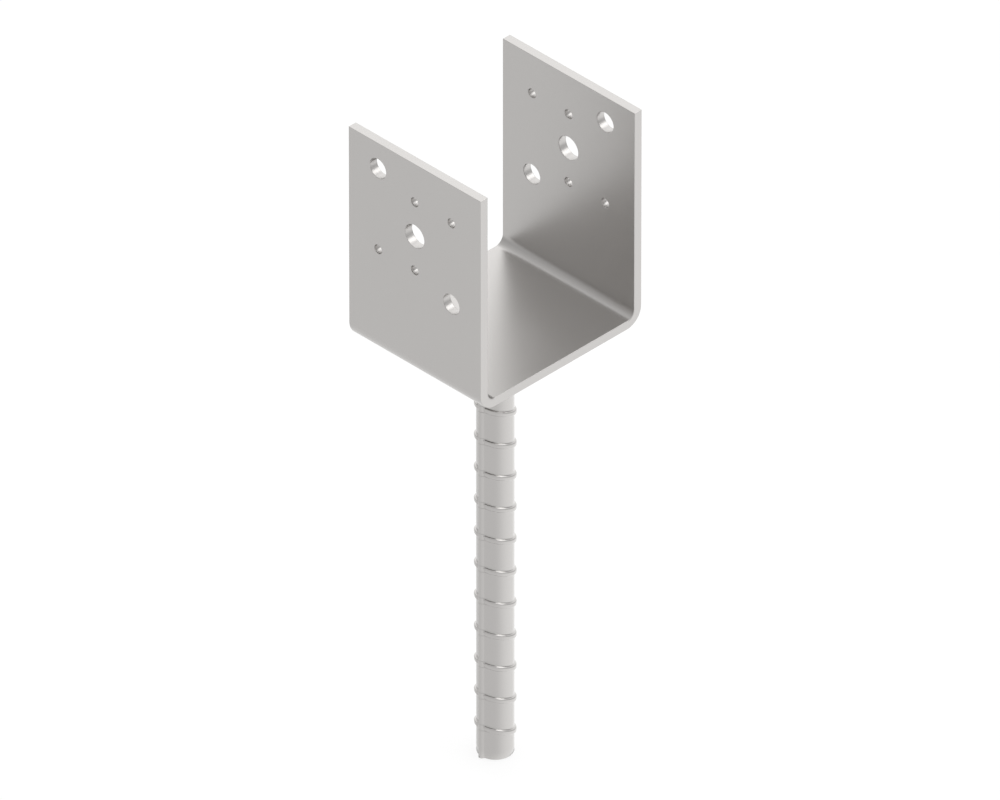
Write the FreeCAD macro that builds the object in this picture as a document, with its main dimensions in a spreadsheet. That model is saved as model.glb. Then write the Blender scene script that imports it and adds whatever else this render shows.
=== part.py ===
import FreeCAD, Part
import math
import os

import Sketcher

# Post base for a 100 mm timber post: one thick plate folded into a U-shaped bracket, and a length
# of ribbed reinforcing bar that is welded under it and cast into the concrete footing.
#
# Frame, in millimetres: the origin is the centre of the plate's underside, where the bar is
# welded on. +Z runs up the post, X runs across the two flanges, and the bar hangs down along -Z.

VECTOR = FreeCAD.Vector
DOCUMENT = FreeCAD.newDocument("PostBase")

SIZES = {
    # folded bracket
    "post_width": 100.0,          # clear width between the flanges
    "plate_width": 90.0,          # width of the plate, along Y
    "plate_thickness": 5.0,
    "bracket_height": 125.0,      # from the plate's underside to the top of a flange
    "bend_radius": 5.0,           # inside radius of the two folds
    # holes in each flange, placed from the bolt hole
    "bolt_hole_drop": 42.5,       # from the top of the flange to the through-bolt's hole
    "bolt_hole_diameter": 13.0,
    "screw_hole_diameter": 11.0,
    "screw_hole_rise": 27.5,      # coach-screw holes above and below the bolt hole
    "nail_hole_diameter": 5.0,
    "nail_hole_rise": 20.0,       # nail holes above and below the bolt hole
    "outer_hole_offset": 25.0,    # sideways, from the bolt hole to the outer holes
    # ribbed bar
    "bar_length": 250.0,          # below the plate
    "bar_core_diameter": 18.8,
    "ring_pitch": 19.0,
    "first_ring_height": 15.0,    # ring centre above the bar's lower end
    "ring_tilt": 19.0,            # degrees; the rings fall towards +X
    "ring_height": 1.3,           # above the core, where a ring is highest
    "ring_top_width": 1.2,
    "ring_base_width": 3.4,
    "rib_height": 1.6,            # above the core
    "rib_top_width": 1.3,
    "rib_base_width": 3.9,
    "root_depth": 0.5,            # how far a ring, rib or weld is carried into the core
    # fillet weld round the top of the bar
    "weld_leg": 6.0,
}

# The sketcher's numbers for the points of a line or arc, and for a sketch's origin and axes.
START, END, CENTRE = range(1, 4)
Y_AXIS, X_AXIS = range(-2, 0)
ROOT = X_AXIS


def write_sheet():
    """The driving dimensions, one to a row: the name, and the value under the same alias."""
    sheet = DOCUMENT.addObject("Spreadsheet::Sheet", "Sizes")
    for row, (name, value) in enumerate(SIZES.items(), start=1):
        sheet.set(f"A{row}", name)
        sheet.set(f"B{row}", str(value))
        sheet.setAlias(f"B{row}", name)
    DOCUMENT.recompute()


def add_body(label):
    body = DOCUMENT.addObject("PartDesign::Body", label)
    body.Label = label
    return body


def origin_feature(body, role):
    return next(feature for feature in body.Origin.OriginFeatures if feature.Role == role)


def add_sketch(body, name, plane_role):
    sketch = body.newObject("Sketcher::SketchObject", name)
    sketch.AttachmentSupport = [(origin_feature(body, plane_role), "")]
    sketch.MapMode = "FlatFace"
    return sketch


def add_line(sketch, start, end):
    return sketch.addGeometry(Part.LineSegment(VECTOR(*start), VECTOR(*end)))


def add_arc(sketch, centre, radius, first_angle, last_angle):
    """An arc that runs anticlockwise between two angles in degrees."""
    circle = Part.Circle(VECTOR(*centre), VECTOR(0, 0, 1), radius)
    return sketch.addGeometry(
        Part.ArcOfCircle(circle, math.radians(first_angle), math.radians(last_angle)))


def relate(sketch, *relation):
    """A geometric relation, such as Horizontal or Tangent."""
    return sketch.addConstraint(Sketcher.Constraint(*relation))


def dimension(sketch, name, formula, *relation):
    """A dimension that follows a formula of the sheet's sizes."""
    index = relate(sketch, *relation)
    sketch.renameConstraint(index, name)
    sketch.setExpression(f"Constraints.{name}", formula)


def add_pad(body, name, sketch, length_formula, symmetric=False):
    pad = body.newObject("PartDesign::Pad", name)
    pad.Profile = sketch
    pad.SideType = "Symmetric" if symmetric else "One side"
    pad.setExpression("Length", length_formula)
    return pad


def add_half_turn(body, name, feature):
    """The same feature again on the opposite side of the Z axis."""
    pattern = body.newObject("PartDesign::PolarPattern", name)
    pattern.Originals = [feature]
    pattern.Axis = (origin_feature(body, "Z_Axis"), [""])
    pattern.Occurrences = 2
    body.Tip = pattern
    return pattern


def folded_section(body):
    """Section of the folded plate: two flanges, the seat between them, and two round folds."""
    half = SIZES["post_width"] / 2
    thick = SIZES["plate_thickness"]
    inner = SIZES["bend_radius"]
    outer = inner + thick
    top = SIZES["bracket_height"]
    flat = half - inner
    sketch = add_sketch(body, "FoldedSection", "XZ_Plane")

    # Round the outline anticlockwise, from the outside top of the left flange.
    left_outside = add_line(sketch, (-half - thick, top), (-half - thick, outer))
    left_outer_fold = add_arc(sketch, (-flat, outer), outer, 180, 270)
    underside = add_line(sketch, (-flat, 0), (flat, 0))
    right_outer_fold = add_arc(sketch, (flat, outer), outer, 270, 360)
    right_outside = add_line(sketch, (half + thick, outer), (half + thick, top))
    right_top = add_line(sketch, (half + thick, top), (half, top))
    right_inside = add_line(sketch, (half, top), (half, outer))
    right_inner_fold = add_arc(sketch, (flat, outer), inner, 270, 360)
    seat = add_line(sketch, (flat, thick), (-flat, thick))
    left_inner_fold = add_arc(sketch, (-flat, outer), inner, 180, 270)
    left_inside = add_line(sketch, (-half, outer), (-half, top))
    left_top = add_line(sketch, (-half, top), (-half - thick, top))

    for line in (underside, seat, left_top, right_top):
        relate(sketch, "Horizontal", line)
    for line in (left_outside, left_inside, right_outside, right_inside):
        relate(sketch, "Vertical", line)
    for line, line_end, fold, fold_end in (
            (left_outside, END, left_outer_fold, START),
            (underside, START, left_outer_fold, END),
            (underside, END, right_outer_fold, START),
            (right_outside, START, right_outer_fold, END),
            (right_inside, END, right_inner_fold, END),
            (seat, START, right_inner_fold, START),
            (seat, END, left_inner_fold, END),
            (left_inside, START, left_inner_fold, START)):
        relate(sketch, "Tangent", line, line_end, fold, fold_end)
    for first, second in ((right_outside, right_top), (right_top, right_inside),
                          (left_inside, left_top), (left_top, left_outside)):
        relate(sketch, "Coincident", first, END, second, START)
    relate(sketch, "Coincident", left_outer_fold, CENTRE, left_inner_fold, CENTRE)
    relate(sketch, "Coincident", right_outer_fold, CENTRE, right_inner_fold, CENTRE)
    relate(sketch, "Equal", left_inner_fold, right_inner_fold)
    relate(sketch, "Symmetric", left_inside, END, right_inside, START, Y_AXIS)
    relate(sketch, "PointOnObject", underside, START, X_AXIS)

    dimension(sketch, "bend_radius", "Sizes.bend_radius", "Radius", left_inner_fold, inner)
    dimension(sketch, "thickness", "Sizes.plate_thickness",
              "DistanceX", left_top, END, left_top, START, thick)
    dimension(sketch, "post_width", "Sizes.post_width",
              "DistanceX", left_inside, END, right_inside, START, 2 * half)
    dimension(sketch, "bracket_height", "Sizes.bracket_height",
              "DistanceY", ROOT, START, right_inside, START, top)
    return sketch


def flange_holes(body):
    """Holes of the +X flange, seen along X: sketch x is the part's Y, sketch y its Z."""
    bolt_z = SIZES["bracket_height"] - SIZES["bolt_hole_drop"]
    aside = SIZES["outer_hole_offset"]
    sketch = add_sketch(body, "FlangeHoles", "YZ_Plane")

    def hole(name, kind, side, rise_size, rise_sign):
        """One round hole, placed from the bolt hole by a side (-1, 0, 1) and a rise."""
        rise = rise_sign * SIZES[rise_size] if rise_size else 0.0
        diameter = SIZES[f"{kind}_hole_diameter"]
        circle = sketch.addGeometry(
            Part.Circle(VECTOR(side * aside, bolt_z + rise), VECTOR(0, 0, 1), diameter / 2))
        dimension(sketch, f"{name}_diameter", f"Sizes.{kind}_hole_diameter",
                  "Diameter", circle, diameter)
        if side:
            dimension(sketch, f"{name}_y", f"{side} * Sizes.outer_hole_offset",
                      "DistanceX", ROOT, START, circle, CENTRE, side * aside)
        else:
            relate(sketch, "PointOnObject", circle, CENTRE, Y_AXIS)
        height = "Sizes.bracket_height - Sizes.bolt_hole_drop"
        if rise_size:
            height += f" + {rise_sign} * Sizes.{rise_size}"
        dimension(sketch, f"{name}_z", height,
                  "DistanceY", ROOT, START, circle, CENTRE, bolt_z + rise)

    hole("bolt", "bolt", 0, None, 0)
    hole("upper_screw", "screw", -1, "screw_hole_rise", 1)
    hole("lower_screw", "screw", 1, "screw_hole_rise", -1)
    hole("upper_middle_nail", "nail", 0, "nail_hole_rise", 1)
    hole("lower_middle_nail", "nail", 0, "nail_hole_rise", -1)
    hole("upper_side_nail", "nail", 1, "nail_hole_rise", 1)
    hole("lower_side_nail", "nail", -1, "nail_hole_rise", -1)
    return sketch


def make_bracket():
    """The folded plate. The second flange has the first one's holes, turned half round Z."""
    body = add_body("folded_bracket")
    add_pad(body, "FoldedPlate", folded_section(body), "Sizes.plate_width", symmetric=True)
    punched = body.newObject("PartDesign::Pocket", "PunchedFlange")
    punched.Profile = flange_holes(body)
    punched.Type = "ThroughAll"
    punched.Reversed = True       # towards +X, through one flange only
    add_half_turn(body, "OppositeFlange", punched)
    return body


def core_circle(body):
    sketch = add_sketch(body, "CoreCircle", "XY_Plane")
    radius = SIZES["bar_core_diameter"] / 2
    circle = sketch.addGeometry(Part.Circle(VECTOR(0, 0, 0), VECTOR(0, 0, 1), radius))
    relate(sketch, "Coincident", circle, CENTRE, ROOT, START)
    dimension(sketch, "core_diameter", "Sizes.bar_core_diameter", "Diameter", circle, 2 * radius)
    return sketch


def rib_section(body):
    """Section of one lengthwise rib, a trapezoid on the -X side of the core."""
    core = SIZES["bar_core_diameter"] / 2
    root = core - SIZES["root_depth"]
    crest = core + SIZES["rib_height"]
    half_top = SIZES["rib_top_width"] / 2
    half_base = SIZES["rib_base_width"] / 2
    sketch = add_sketch(body, "RibSection", "XY_Plane")
    inside = add_line(sketch, (-root, half_base), (-root, -half_base))
    lower_flank = add_line(sketch, (-root, -half_base), (-crest, -half_top))
    outside = add_line(sketch, (-crest, -half_top), (-crest, half_top))
    upper_flank = add_line(sketch, (-crest, half_top), (-root, half_base))
    for first, second in ((inside, lower_flank), (lower_flank, outside),
                          (outside, upper_flank), (upper_flank, inside)):
        relate(sketch, "Coincident", first, END, second, START)
    relate(sketch, "Symmetric", inside, START, inside, END, X_AXIS)
    relate(sketch, "Symmetric", outside, START, outside, END, X_AXIS)
    dimension(sketch, "base_width", "Sizes.rib_base_width",
              "DistanceY", inside, END, inside, START, 2 * half_base)
    dimension(sketch, "top_width", "Sizes.rib_top_width",
              "DistanceY", outside, START, outside, END, 2 * half_top)
    dimension(sketch, "root", "Sizes.bar_core_diameter / 2 - Sizes.root_depth",
              "DistanceX", inside, END, ROOT, START, root)
    dimension(sketch, "crest", "Sizes.bar_core_diameter / 2 + Sizes.rib_height",
              "DistanceX", outside, END, ROOT, START, crest)
    return sketch


def ring_section(body):
    """Section of the lowest ring, a trapezoid square to the tilted axis that it is turned about."""
    middle = SIZES["first_ring_height"]
    core = SIZES["bar_core_diameter"] / 2
    root = core - SIZES["root_depth"]
    crest = core + SIZES["ring_height"]
    half_top = SIZES["ring_top_width"] / 2
    half_base = SIZES["ring_base_width"] / 2
    lean = math.radians(SIZES["ring_tilt"])
    sketch = add_sketch(body, "RingSection", "XZ_Plane")

    def tilted(outward, along):
        """A point at a distance from the tilted axis, and along it from the ring's middle."""
        return (outward * math.cos(lean) + along * math.sin(lean),
                middle - outward * math.sin(lean) + along * math.cos(lean))

    axis = add_line(sketch, tilted(0, 0), tilted(0, crest))
    spoke = add_line(sketch, tilted(0, 0), tilted(crest, 0))
    sketch.setConstruction(axis, True)
    sketch.setConstruction(spoke, True)
    base = add_line(sketch, tilted(root, half_base), tilted(root, -half_base))
    lower_flank = add_line(sketch, tilted(root, -half_base), tilted(crest, -half_top))
    top = add_line(sketch, tilted(crest, -half_top), tilted(crest, half_top))
    upper_flank = add_line(sketch, tilted(crest, half_top), tilted(root, half_base))

    relate(sketch, "PointOnObject", axis, START, Y_AXIS)
    relate(sketch, "Coincident", axis, START, spoke, START)
    relate(sketch, "Perpendicular", axis, spoke)
    relate(sketch, "Equal", axis, spoke)
    for first, second in ((base, lower_flank), (lower_flank, top),
                          (top, upper_flank), (upper_flank, base)):
        relate(sketch, "Coincident", first, END, second, START)
    relate(sketch, "Symmetric", base, START, base, END, spoke)
    relate(sketch, "Symmetric", top, START, top, END, spoke)
    relate(sketch, "PointOnObject", spoke, END, top)
    dimension(sketch, "middle", "Sizes.first_ring_height",
              "DistanceY", ROOT, START, axis, START, middle)
    dimension(sketch, "tilt", "Sizes.ring_tilt", "Angle", axis, START, Y_AXIS, START, lean)
    dimension(sketch, "crest", "Sizes.bar_core_diameter / 2 + Sizes.ring_height",
              "Distance", spoke, crest)
    dimension(sketch, "base_width", "Sizes.ring_base_width", "Distance", base, 2 * half_base)
    dimension(sketch, "top_width", "Sizes.ring_top_width", "Distance", top, 2 * half_top)
    dimension(sketch, "depth", "Sizes.ring_height + Sizes.root_depth",
              "Distance", base, START, top, crest - root)
    return sketch


def make_bar():
    """The ribbed bar, built up from its lower end and then hung under the plate."""
    body = add_body("anchor_bar")
    add_pad(body, "Core", core_circle(body), "Sizes.bar_length")
    rib = add_pad(body, "Rib", rib_section(body), "Sizes.bar_length")
    add_half_turn(body, "OppositeRib", rib)

    ring = body.newObject("PartDesign::Revolution", "LowestRing")
    ring.Profile = ring_section(body)
    ring.ReferenceAxis = (ring.Profile[0], ["Axis0"])
    ring.Angle = 360
    rings = body.newObject("PartDesign::LinearPattern", "Rings")
    rings.Originals = [ring]
    rings.Direction = (origin_feature(body, "Z_Axis"), [""])
    rings.Mode = "Spacing"
    rings.setExpression("Offset", "Sizes.ring_pitch")
    # As many whole rings as fit under the plate.
    reach = ("(Sizes.bar_core_diameter / 2 + Sizes.ring_height) * sin(Sizes.ring_tilt)"
             " + Sizes.ring_base_width / 2")
    rings.setExpression(
        "Occurrences",
        f"floor((Sizes.bar_length - Sizes.first_ring_height - ({reach})) / Sizes.ring_pitch) + 1")
    body.Tip = rings

    body.setExpression("Placement.Base.z", "-Sizes.bar_length")
    return body


def weld_section(body):
    """Section of the fillet weld: a leg along the plate, a leg down the bar, a flat face."""
    core = SIZES["bar_core_diameter"] / 2
    root = core - SIZES["root_depth"]
    leg = SIZES["weld_leg"]
    sketch = add_sketch(body, "WeldSection", "XZ_Plane")
    on_plate = add_line(sketch, (core + leg, 0), (root, 0))
    inside = add_line(sketch, (root, 0), (root, -leg))
    toe = add_line(sketch, (root, -leg), (core, -leg))
    face = add_line(sketch, (core, -leg), (core + leg, 0))
    for first, second in ((on_plate, inside), (inside, toe), (toe, face), (face, on_plate)):
        relate(sketch, "Coincident", first, END, second, START)
    relate(sketch, "PointOnObject", on_plate, START, X_AXIS)
    relate(sketch, "Horizontal", on_plate)
    relate(sketch, "Vertical", inside)
    relate(sketch, "Horizontal", toe)
    dimension(sketch, "root", "Sizes.bar_core_diameter / 2 - Sizes.root_depth",
              "DistanceX", ROOT, START, inside, START, root)
    dimension(sketch, "toe", "Sizes.root_depth", "DistanceX", toe, START, toe, END, core - root)
    dimension(sketch, "leg_on_plate", "Sizes.root_depth + Sizes.weld_leg",
              "DistanceX", on_plate, END, on_plate, START, core + leg - root)
    dimension(sketch, "leg_on_bar", "Sizes.weld_leg",
              "DistanceY", inside, END, inside, START, leg)
    return sketch


def make_weld(bar):
    """The fillet weld all round the bar, shaped to the bar's ribs by cutting the bar out of it."""
    fillet = add_body("WeldFillet")
    ring = fillet.newObject("PartDesign::Revolution", "FilletRing")
    ring.Profile = weld_section(fillet)
    ring.ReferenceAxis = (origin_feature(fillet, "Z_Axis"), [""])
    ring.Angle = 360

    weld = DOCUMENT.addObject("Part::Cut", "weld_bead")
    weld.Label = "weld_bead"
    weld.Base = fillet
    weld.Tool = bar
    return weld


def check_model(pieces):
    for item in DOCUMENT.Objects:
        if "Invalid" in item.State or "Error" in item.State:
            raise RuntimeError(f"{item.Name} did not recompute: {item.State}")
    for piece in pieces:
        shape = piece.Shape
        if shape.isNull() or not shape.isValid() or len(shape.Solids) != 1:
            raise RuntimeError(f"{piece.Label} is not one valid solid")
    # A pocket that points the wrong way cuts nothing, so the holes are counted by their volume.
    bracket = DOCUMENT.getObject("folded_bracket")
    plain = DOCUMENT.getObject("FoldedPlate").Shape.Volume
    one_flange = sum(
        number * math.pi * (SIZES[f"{kind}_hole_diameter"] / 2) ** 2 * SIZES["plate_thickness"]
        for kind, number in (("bolt", 1), ("screw", 2), ("nail", 4)))
    if not math.isclose(plain - bracket.Shape.Volume, 2 * one_flange, rel_tol=1e-6):
        raise RuntimeError("the flanges are not punched as drawn")


write_sheet()
bracket = make_bracket()
bar = make_bar()
weld = make_weld(bar)
DOCUMENT.recompute()
check_model([bracket, bar, weld])

os.makedirs("parts", exist_ok=True)
for piece in (bracket, bar, weld):
    piece.Shape.exportStep(f"parts/{piece.Label}.step")
    print(f"{piece.Label}: {piece.Shape.Volume:.0f} mm3, {len(piece.Shape.Faces)} faces")
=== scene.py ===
import bpy
import bmesh
import math
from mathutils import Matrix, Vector


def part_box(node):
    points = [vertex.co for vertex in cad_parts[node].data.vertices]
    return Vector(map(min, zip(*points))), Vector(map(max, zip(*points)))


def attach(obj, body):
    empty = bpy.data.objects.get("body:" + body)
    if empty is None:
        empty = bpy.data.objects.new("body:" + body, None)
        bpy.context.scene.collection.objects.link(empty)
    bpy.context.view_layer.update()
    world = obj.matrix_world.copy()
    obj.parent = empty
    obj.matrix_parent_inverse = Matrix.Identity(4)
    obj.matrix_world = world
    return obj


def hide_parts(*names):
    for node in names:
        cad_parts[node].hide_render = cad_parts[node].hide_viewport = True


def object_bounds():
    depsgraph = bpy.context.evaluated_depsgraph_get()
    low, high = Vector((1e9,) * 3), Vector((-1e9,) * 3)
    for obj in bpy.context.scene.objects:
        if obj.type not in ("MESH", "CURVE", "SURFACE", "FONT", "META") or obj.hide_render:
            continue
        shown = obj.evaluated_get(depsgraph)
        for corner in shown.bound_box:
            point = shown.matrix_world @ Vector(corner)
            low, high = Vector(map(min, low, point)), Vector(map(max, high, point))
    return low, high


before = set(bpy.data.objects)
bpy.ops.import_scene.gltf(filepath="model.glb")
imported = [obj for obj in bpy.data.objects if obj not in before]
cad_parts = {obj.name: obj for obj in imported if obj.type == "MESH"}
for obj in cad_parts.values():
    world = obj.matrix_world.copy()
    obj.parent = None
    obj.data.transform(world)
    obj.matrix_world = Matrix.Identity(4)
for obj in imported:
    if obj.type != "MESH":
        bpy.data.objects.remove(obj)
cad_lowest, cad_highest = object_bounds()


# ---------------------------------------------------------------------------------------------
# Folded bracket. One steel plate, cut to size, punched, and folded twice in a press brake, then
# zinc coated. Its cut edges are broken a little, so they catch a thin line of light.
# ---------------------------------------------------------------------------------------------

MM = 0.001
bracket_low, bracket_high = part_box("folded_bracket")
PLATE_THICKNESS = 5 * MM
BEND_RADIUS = 5 * MM
EDGE_BREAK = 0.3 * MM
BREAK_SEGMENTS = 3
SHARP_CORNER = math.radians(40)
FOLD_STEPS = 16
HOLE_STEPS = 64

# Holes of the +X flange, from the through-bolt's hole: sideways along Y, up, and diameter.
BOLT_HOLE_DROP = 42.5 * MM
SCREW_HOLE = (25 * MM, 27.5 * MM, 11 * MM)
NAIL_HOLE = (25 * MM, 20 * MM, 5 * MM)
BOLT_DIAMETER = 13 * MM


def flange_holes():
    """Places and diameters of the +X flange's holes: y, z from the bolt hole, diameter."""
    screw_y, screw_z, screw = SCREW_HOLE
    nail_y, nail_z, nail = NAIL_HOLE
    return [(0, 0, BOLT_DIAMETER),
            (-screw_y, screw_z, screw), (screw_y, -screw_z, screw),
            (0, nail_z, nail), (0, -nail_z, nail),
            (nail_y, nail_z, nail), (-nail_y, -nail_z, nail)]


def folded_outline():
    """The plate's section in X and Z: down one flange's outside, round to the other, and back."""
    reach, top = bracket_high.x, bracket_high.z
    floor = bracket_low.z
    centre_x = reach - PLATE_THICKNESS - BEND_RADIUS
    centre_z = floor + PLATE_THICKNESS + BEND_RADIUS

    def quarter(radius, side):
        """Points of one fold, from the flange to the seat."""
        for step in range(FOLD_STEPS + 1):
            angle = math.pi / 2 * step / FOLD_STEPS
            yield (side * (centre_x + radius * math.cos(angle)),
                   centre_z - radius * math.sin(angle))

    outer = BEND_RADIUS + PLATE_THICKNESS
    inside = reach - PLATE_THICKNESS
    outline = [(-reach, top), *quarter(outer, -1)]
    outline += [*reversed(list(quarter(outer, 1))), (reach, top)]
    outline += [(inside, top), *quarter(BEND_RADIUS, 1)]
    outline += [*reversed(list(quarter(BEND_RADIUS, -1))), (-inside, top)]
    return outline


def new_object(name, mesh):
    """A new object in the scene, with its mesh where the real piece is."""
    made = bpy.data.objects.new(name, mesh)
    bpy.context.scene.collection.objects.link(made)
    return made


def bake_modifiers(piece):
    """The piece with its modifiers worked into its mesh."""
    shaped = piece.evaluated_get(bpy.context.evaluated_depsgraph_get())
    plain = piece.data
    piece.data = bpy.data.meshes.new_from_object(shaped)
    piece.modifiers.clear()
    bpy.data.meshes.remove(plain)


def folded_plate():
    """The plate before its holes are made: the section, drawn out along Y."""
    body = bmesh.new()
    rows = [[body.verts.new((x, y, z)) for x, z in folded_outline()]
            for y in (bracket_low.y, bracket_high.y)]
    count = len(rows[0])
    for here in range(count):
        after = (here + 1) % count
        body.faces.new((rows[0][here], rows[1][here], rows[1][after], rows[0][after]))
    body.faces.new(rows[0])
    body.faces.new(list(reversed(rows[1])))
    bmesh.ops.recalc_face_normals(body, faces=body.faces)
    mesh = bpy.data.meshes.new("plate_steel_folded")
    body.to_mesh(mesh)
    body.free()
    return mesh


def hole_punches():
    """A round punch through each hole of both flanges; half a turn about Z makes the second."""
    punches = bmesh.new()
    bolt_z = bracket_high.z - BOLT_HOLE_DROP
    middle_x = bracket_high.x - PLATE_THICKNESS / 2
    for side in (1, -1):
        for y, z, diameter in flange_holes():
            ends = []
            for end_x in (middle_x - PLATE_THICKNESS, middle_x + PLATE_THICKNESS):
                ring = []
                for step in range(HOLE_STEPS):
                    angle = 2 * math.pi * step / HOLE_STEPS
                    ring.append(punches.verts.new((
                        side * end_x,
                        side * (y + diameter / 2 * math.cos(angle)),
                        bolt_z + z + diameter / 2 * math.sin(angle))))
                ends.append(ring)
                punches.faces.new(ring)
            for here in range(HOLE_STEPS):
                after = (here + 1) % HOLE_STEPS
                punches.faces.new((ends[0][here], ends[0][after], ends[1][after], ends[1][here]))
    bmesh.ops.recalc_face_normals(punches, faces=punches.faces)
    mesh = bpy.data.meshes.new("punches")
    punches.to_mesh(mesh)
    punches.free()
    return mesh


bracket = new_object("bracket_plate", folded_plate())
punches = new_object("punches", hole_punches())
cut = bracket.modifiers.new("punched", "BOOLEAN")
cut.operation = "DIFFERENCE"
cut.solver = "EXACT"
cut.object = punches
bake_modifiers(bracket)
bpy.data.objects.remove(punches)
bracket.data.shade_smooth()
broken = bracket.modifiers.new("broken_edges", "BEVEL")
broken.width = EDGE_BREAK
broken.segments = BREAK_SEGMENTS
broken.limit_method = "ANGLE"
broken.angle_limit = SHARP_CORNER
broken.harden_normals = True
bake_modifiers(bracket)


class Signal:
    """A value, colour or vector in a node tree. Arithmetic on values adds the Math nodes."""

    def __init__(self, tree, socket):
        self.tree = tree
        self.socket = socket

    def math(self, operation, first, second):
        return wire(self.tree, "ShaderNodeMath", {"operation": operation}, {0: first, 1: second})

    def absolute(self):
        return wire(self.tree, "ShaderNodeMath", {"operation": "ABSOLUTE"}, {0: self})

    def root(self):
        return wire(self.tree, "ShaderNodeMath", {"operation": "SQRT"}, {0: self})

    def __add__(self, other):
        return self.math("ADD", self, other)

    def __radd__(self, other):
        return self.math("ADD", other, self)

    def __sub__(self, other):
        return self.math("SUBTRACT", self, other)

    def __rsub__(self, other):
        return self.math("SUBTRACT", other, self)

    def __mul__(self, other):
        return self.math("MULTIPLY", self, other)

    def __rmul__(self, other):
        return self.math("MULTIPLY", other, self)


def pick(sockets, key):
    """A socket by its place in the list, its identifier or its name."""
    if isinstance(key, int):
        return sockets[key]
    for label in ("identifier", "name"):
        for socket in sockets:
            if getattr(socket, label) == key:
                return socket
    raise KeyError(key)


def wire(tree, kind, settings, inputs, output=0):
    """One node: its settings first, then the values or links of its sockets."""
    node = tree.nodes.new(kind)
    for name, value in settings.items():
        setattr(node, name, value)
    for key, value in inputs.items():
        socket = pick(node.inputs, key)
        if isinstance(value, Signal):
            tree.links.new(value.socket, socket)
        else:
            socket.default_value = value
    return Signal(tree, pick(node.outputs, output) if len(node.outputs) else None)


def soft_step(tree, value, start, end):
    """0 below start, 1 above end, and smooth between."""
    return wire(tree, "ShaderNodeMapRange", {"interpolation_type": "SMOOTHSTEP"},
                {"Value": value, "From Min": start, "From Max": end})


ZINC_TONE = (0.480, 0.468, 0.457)
ZINC_SPREAD = 0.022
CLOUD_SCALE = 22
CLOUD_DETAIL = 3
CLOUD_ROUGHNESS = 0.55
GRAIN_DETAIL = 2
GRAIN_ROUGHNESS = 0.6
CLOUD_GLOSS = 0.05
GRAIN_GLOSS = 0.04
COAT_RELIEF = 0.006 * MM
EVEN_GRAIN = (1, 1, 1)
PLATE_ROUGHNESS = 0.33
PLATE_GRAIN = 900

# Painted shade inside a fold: a darker base colour that dims the fold's reflection. Its tone, and
# where it fades in, towards the seat, towards the flange and into the steel from the fold's face.
FOLD_SHADE_TONE = 0.79
SEAT_FADE = (0.3 * MM, 1.8 * MM)
FLANGE_FADE = (0, 4 * MM)
DEPTH_FADE = (BEND_RADIUS + 0.4 * MM, BEND_RADIUS + 1 * MM)


def zinc_tone(level):
    """The coat's colour, lighter or darker by level."""
    return tuple(part * level for part in ZINC_TONE) + (1,)


def zinc_finish(name, level, roughness, grain, stretch):
    """Zinc coated steel: soft clouds of tone, and a fine grain that scatters the reflections."""
    material = bpy.data.materials.new(name)
    material.use_nodes = True
    tree = material.node_tree
    tree.nodes.clear()
    place = wire(tree, "ShaderNodeTexCoord", {}, {}, "Object")
    drawn = wire(tree, "ShaderNodeMapping", {}, {"Vector": place, "Scale": stretch})
    clouds = wire(tree, "ShaderNodeTexNoise", {},
                  {"Vector": place, "Scale": CLOUD_SCALE, "Detail": CLOUD_DETAIL,
                   "Roughness": CLOUD_ROUGHNESS})
    fine = wire(tree, "ShaderNodeTexNoise", {},
                {"Vector": drawn, "Scale": grain, "Detail": GRAIN_DETAIL,
                 "Roughness": GRAIN_ROUGHNESS})
    tone = wire(tree, "ShaderNodeMix", {"data_type": "RGBA"},
                {"Factor_Float": clouds, "A_Color": zinc_tone(level * (1 - ZINC_SPREAD)),
                 "B_Color": zinc_tone(level * (1 + ZINC_SPREAD))},
                "Result_Color")
    relief = wire(tree, "ShaderNodeBump", {},
                  {"Strength": 1, "Distance": COAT_RELIEF, "Height": fine})
    steel = wire(tree, "ShaderNodeBsdfPrincipled", {},
                 {"Base Color": tone, "Metallic": 1,
                  "Roughness": (roughness + CLOUD_GLOSS * (clouds - 0.5)
                               + GRAIN_GLOSS * (fine - 0.5)),
                  "Normal": relief})
    wire(tree, "ShaderNodeOutputMaterial", {}, {"Surface": steel})
    return material


def paint_fold_shade(material):
    """Paints shade inside the two folds: a darker base colour there, which dims the folds'
    reflections.
    """
    tree = material.node_tree
    place = wire(tree, "ShaderNodeTexCoord", {}, {}, "Object")
    across = wire(tree, "ShaderNodeSeparateXYZ", {}, {"Vector": place}, "X")
    height = wire(tree, "ShaderNodeSeparateXYZ", {}, {"Vector": place}, "Z")
    past = across.absolute() - (bracket_high.x - PLATE_THICKNESS - BEND_RADIUS)
    below = bracket_low.z + PLATE_THICKNESS + BEND_RADIUS - height
    reach = (past * past + below * below).root()
    fold = soft_step(tree, past, *SEAT_FADE) * soft_step(tree, below, *FLANGE_FADE)
    fold = fold * (1 - soft_step(tree, reach, *DEPTH_FADE))
    steel = next(node for node in tree.nodes if node.type == "BSDF_PRINCIPLED")
    tone = Signal(tree, steel.inputs["Base Color"].links[0].from_socket)
    # Painted shade: the base colour is darkened towards the fold's tone inside the folds.
    fold_shaded = wire(tree, "ShaderNodeMix", {"data_type": "RGBA"},
                  {"Factor_Float": fold, "A_Color": tone, "B_Color": zinc_tone(FOLD_SHADE_TONE)},
                  "Result_Color")
    tree.links.new(fold_shaded.socket, steel.inputs["Base Color"])


def finish_with(piece, material):
    """Gives the whole piece one material."""
    piece.data.materials.clear()
    piece.data.materials.append(material)


plate_finish = zinc_finish("zinc_plate", 1, PLATE_ROUGHNESS, PLATE_GRAIN, EVEN_GRAIN)
# Painted shade inside the folds, darkening the plate's colour there.
paint_fold_shade(plate_finish)
finish_with(bracket, plate_finish)
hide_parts("folded_bracket")
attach(bracket, "root")


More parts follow.
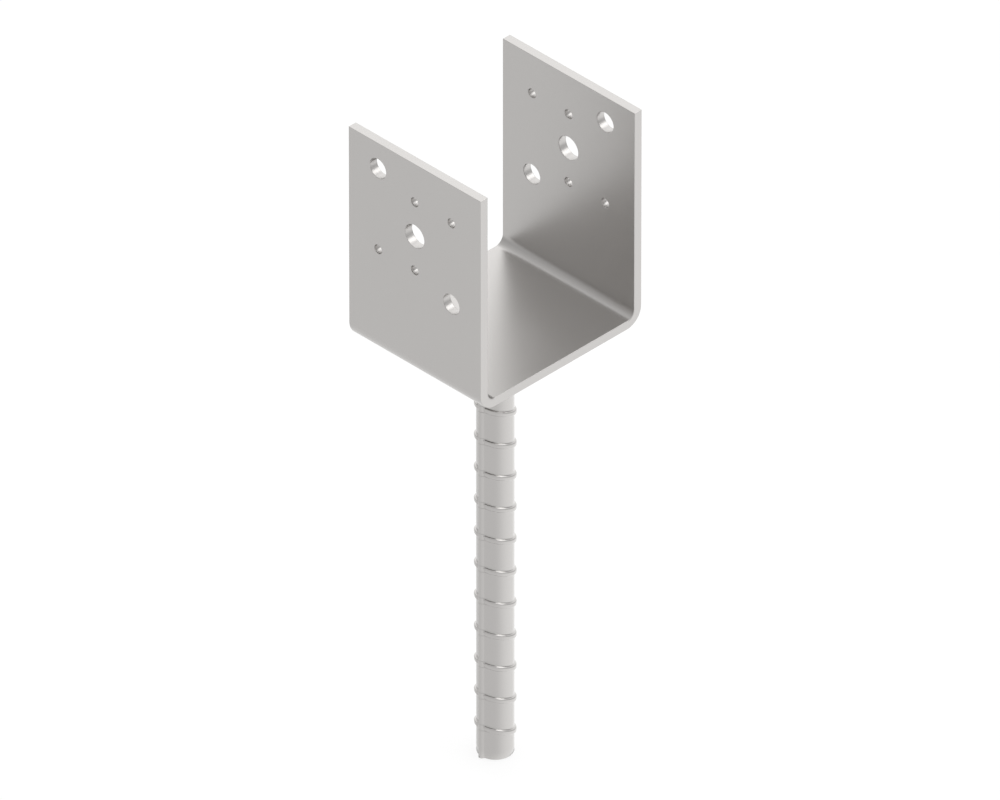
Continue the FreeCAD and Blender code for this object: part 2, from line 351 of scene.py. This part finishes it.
# ---------------------------------------------------------------------------------------------
# Anchor bar. A hot rolled, ribbed reinforcing bar, cut square: slanted rings in even steps and
# a rib down each side, where the halves of the rolls meet. Cast into the footing in use.
# ---------------------------------------------------------------------------------------------

bar_low, bar_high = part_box("anchor_bar")
CORE_RADIUS = 9.4 * MM
RING_PITCH = 19 * MM
RING_COUNT = 13
FIRST_RING = 15 * MM
RING_TILT = math.radians(19)
RING_CREST = 10.45 * MM
RING_HALF_WIDTH = 1.4 * MM
RING_MARGIN = 0.6 * MM
RING_SHOULDER = 0.85 * MM
RING_RUNOUT = 0.45 * MM
SHOULDER_STEPS = 7
RIB_TOP_WIDTH = 1.3 * MM
RIB_BASE_WIDTH = 3.9 * MM
RIB_SHOULDER = 0.35 * MM
ROOT_BLEND = 0.35 * MM
END_BREAK = 0.35 * MM
BAR_TONE = 0.975
BAR_ROUGHNESS = 0.18
BAR_GRAIN = 700
DRAWN_GRAIN = (1, 1, 0.35)

# Degrees round the bar: steps across a rib and as far as the rib reaches, and steps between.
RIB_STEP = 1.25
RIB_REACH = 15.0
SIDE_STEP = 3.0

# Along the bar: rows between two rings, and plain lengths at the square ends.
ROWS_BETWEEN = (0.3, 0.5, 0.7)
LOW_PLAIN = 4 * MM
HIGH_PLAIN = 2.2 * MM


def blended(first, second, width):
    """The larger of two heights, with the corner where they meet filled smoothly."""
    near = max(width - abs(first - second), 0) / width
    return max(first, second) + near * near * width / 4


def ring_section():
    """One ring's rows: distance from its middle and radius, rolled with rounded shoulders."""
    half = [(RING_HALF_WIDTH + RING_MARGIN, CORE_RADIUS), (RING_HALF_WIDTH, CORE_RADIUS)]
    for step in range(SHOULDER_STEPS + 1):
        turn = math.pi / 2 * (1 - step / SHOULDER_STEPS)
        half.append((RING_HALF_WIDTH - RING_SHOULDER * (1 - math.sin(turn)),
                     RING_CREST - RING_SHOULDER * (1 - math.cos(turn))))
    return [(-off, radius) for off, radius in half] + list(reversed(half))


def rib_height(angle):
    """Radius of the bar's side ribs at an angle round it."""
    aside = abs(CORE_RADIUS * math.sin(angle))
    slope = (RIB_BASE_WIDTH / 2 - aside) / (RIB_BASE_WIDTH / 2 - RIB_TOP_WIDTH / 2)
    rise = bar_high.x - CORE_RADIUS
    top = CORE_RADIUS + rise * min(slope, 1)
    return -blended(-top, -(CORE_RADIUS + rise * slope), RIB_SHOULDER)


def bar_radius(angle, ringed):
    """Radius of the skin at an angle: the rings run out at the feet of the side ribs."""
    aside = abs(CORE_RADIUS * math.sin(angle))
    full = max(0, min(1, (aside - RIB_BASE_WIDTH / 2) / RING_RUNOUT))
    ring = CORE_RADIUS + (ringed - CORE_RADIUS) * full
    return min(blended(ring, rib_height(angle), ROOT_BLEND), bar_high.x)


def bar_angles():
    """Steps round the bar: fine across the two ribs, wider between them."""
    half = [step * RIB_STEP - RIB_REACH for step in range(round(2 * RIB_REACH / RIB_STEP))]
    gap = 180 - 2 * RIB_REACH
    count = round(gap / SIDE_STEP)
    half += [RIB_REACH + step * gap / count for step in range(count)]
    return [math.radians(degrees) for degrees in half + [value + 180 for value in half]]


def bar_rows():
    """Steps up the bar's middle line, each with its radius between the ribs."""
    rows = [(bar_low.z + END_BREAK, CORE_RADIUS), (bar_low.z + LOW_PLAIN, CORE_RADIUS)]
    for ring in range(RING_COUNT):
        middle = bar_low.z + FIRST_RING + ring * RING_PITCH
        rows += [(middle + off / math.cos(RING_TILT), radius) for off, radius in ring_section()]
        if ring < RING_COUNT - 1:
            rows += [(middle + RING_PITCH * part, CORE_RADIUS) for part in ROWS_BETWEEN]
    rows.append((bar_high.z, CORE_RADIUS))
    return rows


def slant(along):
    """How far the rows follow the rings' slant: fully on the rings, not at the square ends."""
    first = bar_low.z + FIRST_RING - LOW_PLAIN
    last = bar_low.z + FIRST_RING + (RING_COUNT - 1) * RING_PITCH + HIGH_PLAIN
    from_low = (along - bar_low.z - END_BREAK) / (first - bar_low.z - END_BREAK)
    from_high = (bar_high.z - along) / (bar_high.z - last)
    return max(0, min(1, from_low, from_high)) * math.tan(RING_TILT)


def ribbed_bar():
    """Skin of rows and columns that lie along the rings and the ribs, closed at both ends."""
    skin = bmesh.new()
    angles = bar_angles()
    rows = []
    for along, ringed in bar_rows():
        row = []
        for angle in angles:
            radius = bar_radius(angle, ringed)
            x = radius * math.cos(angle)
            row.append(skin.verts.new((x, radius * math.sin(angle), along - x * slant(along))))
        rows.append(row)
    inset = 1 - END_BREAK / CORE_RADIUS
    foot = [skin.verts.new((v.co.x * inset, v.co.y * inset, bar_low.z)) for v in rows[0]]
    rows.insert(0, foot)
    count = len(angles)
    for lower, upper in zip(rows, rows[1:]):
        for here in range(count):
            after = (here + 1) % count
            skin.faces.new((lower[here], lower[after], upper[after], upper[here]))
    flat = [skin.faces.new(list(reversed(rows[0]))), skin.faces.new(rows[-1])]
    for face in skin.faces:
        face.smooth = True
    for face in flat:
        face.smooth = False
        for edge in face.edges:
            edge.smooth = False
    mesh = bpy.data.meshes.new("anchor_bar_skin")
    skin.to_mesh(mesh)
    skin.free()
    return mesh


bar = new_object("anchor_bar_ribbed", ribbed_bar())
finish_with(bar, zinc_finish("zinc_bar", BAR_TONE, BAR_ROUGHNESS, BAR_GRAIN, DRAWN_GRAIN))
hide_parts("anchor_bar")
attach(bar, "root")


# ---------------------------------------------------------------------------------------------
# Weld bead. One run of fillet weld round the bar, laid under the plate before coating. The pool
# set in small overlapping scales, so the face bulges and both its toes are slightly uneven.
# ---------------------------------------------------------------------------------------------

weld_low, weld_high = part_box("weld_bead")
SCALE_LENGTH = 2.1 * MM
SCALE_HEIGHT = 0.26 * MM
SCALE_BOW = 0.6
BEAD_BULGE = 0.7 * MM
FACE_LEAN = math.sqrt(0.5)
WELD_STEPS = 480
FACE_STEPS = 16
WELD_ROOT = CORE_RADIUS - 0.4 * MM
WELD_CORE = WELD_ROOT - 0.3 * MM
WELD_TONE = 0.94
WELD_ROUGHNESS = 0.32
WELD_GRAIN = 1100

# How far the toes wander, and how: a steady part, slow waves round the bar, and the scales.
TOE_WANDER = 0.28 * MM
STEADY_SHARE = 0.5
WAVE_SHARE = 0.3
WAVES = 5
SCALE_SHARE = 0.2
BAR_TOE_SHARE = 0.8


def weld_face(angle, across):
    """Radius and height of the bead's face; across goes from the plate (0) to the bar (1)."""
    scales = round(2 * math.pi * (CORE_RADIUS + weld_high.x) / 2 / SCALE_LENGTH)
    turn = scales * angle / (2 * math.pi) + SCALE_BOW * (2 * across - 1) ** 2
    scale = turn - math.floor(turn)
    ripple = SCALE_HEIGHT * (math.sin(math.pi * scale) - 0.5) * math.sin(math.pi * across)
    wander = TOE_WANDER * (STEADY_SHARE + WAVE_SHARE * math.sin(WAVES * angle + 1)
                           + SCALE_SHARE * math.sin(scales * angle))
    outer = weld_high.x - wander
    depth = weld_low.z + wander * BAR_TOE_SHARE
    bulge = BEAD_BULGE * math.sin(math.pi * across) + ripple
    radius = outer + (WELD_ROOT - outer) * across + bulge * FACE_LEAN
    height = depth * across - bulge * FACE_LEAN
    return radius, height


def weld_skin():
    """The bead as a closed ring: its scaled face, and the sides that lie on plate and bar."""
    skin = bmesh.new()
    loops = []
    for step in range(WELD_STEPS):
        angle = 2 * math.pi * step / WELD_STEPS
        section = [weld_face(angle, part / FACE_STEPS) for part in range(FACE_STEPS + 1)]
        section += [(WELD_CORE, weld_low.z / 2), (WELD_CORE, 0)]
        loops.append([skin.verts.new((radius * math.cos(angle), radius * math.sin(angle),
                                      min(height, 0))) for radius, height in section])
    count = len(loops[0])
    for here, loop in enumerate(loops):
        following = loops[(here + 1) % WELD_STEPS]
        for part in range(count):
            after = (part + 1) % count
            face = skin.faces.new((loop[part], loop[after], following[after], following[part]))
            face.smooth = part < FACE_STEPS
    bmesh.ops.recalc_face_normals(skin, faces=skin.faces)
    mesh = bpy.data.meshes.new("weld_bead_skin")
    skin.to_mesh(mesh)
    skin.free()
    return mesh


weld = new_object("weld_bead_scaled", weld_skin())
finish_with(weld, zinc_finish("zinc_weld", WELD_TONE, WELD_ROUGHNESS, WELD_GRAIN, EVEN_GRAIN))
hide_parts("weld_bead")
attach(weld, "root")


# ---------------------------------------------------------------------------------------------
# Floor. A plain white sheet just under the bar's lower end. It shows white, with the object's
# soft shadow on it, and lets the surround light the steel from below.
# ---------------------------------------------------------------------------------------------

FLOOR_REACH = 6
FLOOR_GAP = 0.5 * MM
SHADOW_SHARE = 0.15
PURE_WHITE = (1, 1, 1, 1)
SHEET_WHITE = (0.95, 0.95, 0.95, 1)

floor_shape = bmesh.new()
bmesh.ops.create_grid(floor_shape, x_segments=1, y_segments=1, size=FLOOR_REACH)
floor_mesh = bpy.data.meshes.new("floor")
floor_shape.to_mesh(floor_mesh)
floor_shape.free()
floor = new_object("floor", floor_mesh)
floor.location.z = cad_lowest[2] - FLOOR_GAP
floor_material = bpy.data.materials.new("white_sheet")
floor_material.use_nodes = True
floor_tree = floor_material.node_tree
floor_tree.nodes.clear()
seen = wire(floor_tree, "ShaderNodeLightPath", {}, {}, "Is Camera Ray")
under = wire(floor_tree, "ShaderNodeNewGeometry", {}, {}, "Backfacing")
white = wire(floor_tree, "ShaderNodeEmission", {}, {"Color": PURE_WHITE, "Strength": 1})
matt = wire(floor_tree, "ShaderNodeBsdfDiffuse", {}, {"Color": SHEET_WHITE})
clear = wire(floor_tree, "ShaderNodeBsdfTransparent", {}, {})
sheet = wire(floor_tree, "ShaderNodeMixShader", {}, {0: SHADOW_SHARE, 1: white, 2: matt})
shown = wire(floor_tree, "ShaderNodeMixShader", {}, {0: seen * (1 - under), 1: clear, 2: sheet})
wire(floor_tree, "ShaderNodeOutputMaterial", {}, {"Surface": shown})
finish_with(floor, floor_material)


# ---------------------------------------------------------------------------------------------
# Studio. A white surround, brighter low on the right and high behind, dimmer round the horizon,
# and one soft key lamp high on the right that picks out the rings and the holes.
# ---------------------------------------------------------------------------------------------

CAMERA_AZIMUTH = math.radians(-45)
CAMERA_ELEVATION = math.atan(math.sqrt(0.5))


def direction(azimuth, elevation):
    """Unit vector from the object; azimuth 0 is -Y and grows towards +X."""
    return Vector((math.sin(azimuth) * math.cos(elevation),
                   -math.cos(azimuth) * math.cos(elevation), math.sin(elevation)))


# Levels of the surround, where 1 is white, and where each part fades in: by how nearly a
# direction points at the part's middle, or by its height above the horizon.
SURROUND_BASE = 0.98
BRIGHT_RIGHT = 0.37
RIGHT_MIDDLE = direction(CAMERA_AZIMUTH + math.radians(112), math.radians(-30))
RIGHT_FADE = (-0.1, 1.1)
RIGHT_TOP = (-0.40, 0.0)
BRIGHT_BACK = 0.68
BACK_MIDDLE = direction(CAMERA_AZIMUTH + math.radians(180), math.radians(30))
BACK_FADE = (0.50, 0.93)
DIM_HORIZON = 0.23
HORIZON_FOOT = (-0.35, 0.05)
HORIZON_TOP = (0.25, 0.65)

world = bpy.data.worlds.new("white_surround")
world.use_nodes = True
sky = world.node_tree
sky.nodes.clear()
towards = wire(sky, "ShaderNodeTexCoord", {}, {}, "Generated")


def facing(aim):
    """How nearly a direction of the surround points along the given one, -1 to 1."""
    return wire(sky, "ShaderNodeVectorMath", {"operation": "DOT_PRODUCT"},
                {0: towards, 1: tuple(aim)}, "Value")


right_side = facing(RIGHT_MIDDLE)
back_side = facing(BACK_MIDDLE)
above = facing((0, 0, 1))
below = 1 - soft_step(sky, above, *RIGHT_TOP)
horizon = soft_step(sky, above, *HORIZON_FOOT) * (1 - soft_step(sky, above, *HORIZON_TOP))
surround = (SURROUND_BASE + BRIGHT_RIGHT * below * soft_step(sky, right_side, *RIGHT_FADE)
            + BRIGHT_BACK * soft_step(sky, back_side, *BACK_FADE)
            - DIM_HORIZON * horizon)
rays = wire(sky, "ShaderNodeLightPath", {}, {}, "Is Camera Ray")
level = rays + (1 - rays) * surround
background = wire(sky, "ShaderNodeBackground", {}, {"Color": level, "Strength": 1})
wire(sky, "ShaderNodeOutputWorld", {}, {"Surface": background})
bpy.context.scene.world = world

KEY_WIDTH = 1.7
KEY_HEIGHT = 0.8
KEY_DISTANCE = 1.6
KEY_POWER = 7.0
KEY_SIDE = direction(CAMERA_AZIMUTH + math.radians(85), math.radians(47))
key_lamp = bpy.data.lights.new("key_softbox", "AREA")
key_lamp.shape = "RECTANGLE"
key_lamp.size = KEY_WIDTH
key_lamp.size_y = KEY_HEIGHT
key_lamp.energy = KEY_POWER
key = bpy.data.objects.new("key_softbox", key_lamp)
key.location = KEY_SIDE * KEY_DISTANCE
key.rotation_euler = KEY_SIDE.to_track_quat("Z", "Y").to_euler()
bpy.context.scene.collection.objects.link(key)


# ---------------------------------------------------------------------------------------------
# Camera. A long lens from the corner, so that all three axes are drawn to one scale.
# ---------------------------------------------------------------------------------------------

LENS = 1300
SENSOR = 36
FAR_CLIP = 40
VIEW_WIDTH = 483.8 * MM
AIM_RIGHT = 2.28 * MM
AIM_UP = -33.87 * MM
back = direction(CAMERA_AZIMUTH, CAMERA_ELEVATION)
camera_turn = back.to_track_quat("Z", "Y")
aim = camera_turn @ Vector((AIM_RIGHT, AIM_UP, 0))
camera_data = bpy.data.cameras.new("camera")
camera_data.lens = LENS
camera_data.sensor_width = SENSOR
camera_data.clip_end = FAR_CLIP
camera = bpy.data.objects.new("camera", camera_data)
camera.location = aim + back * (VIEW_WIDTH * LENS / SENSOR)
camera.rotation_euler = camera_turn.to_euler()
bpy.context.scene.collection.objects.link(camera)
bpy.context.scene.camera = camera
bpy.context.scene.view_settings.view_transform = "Standard"
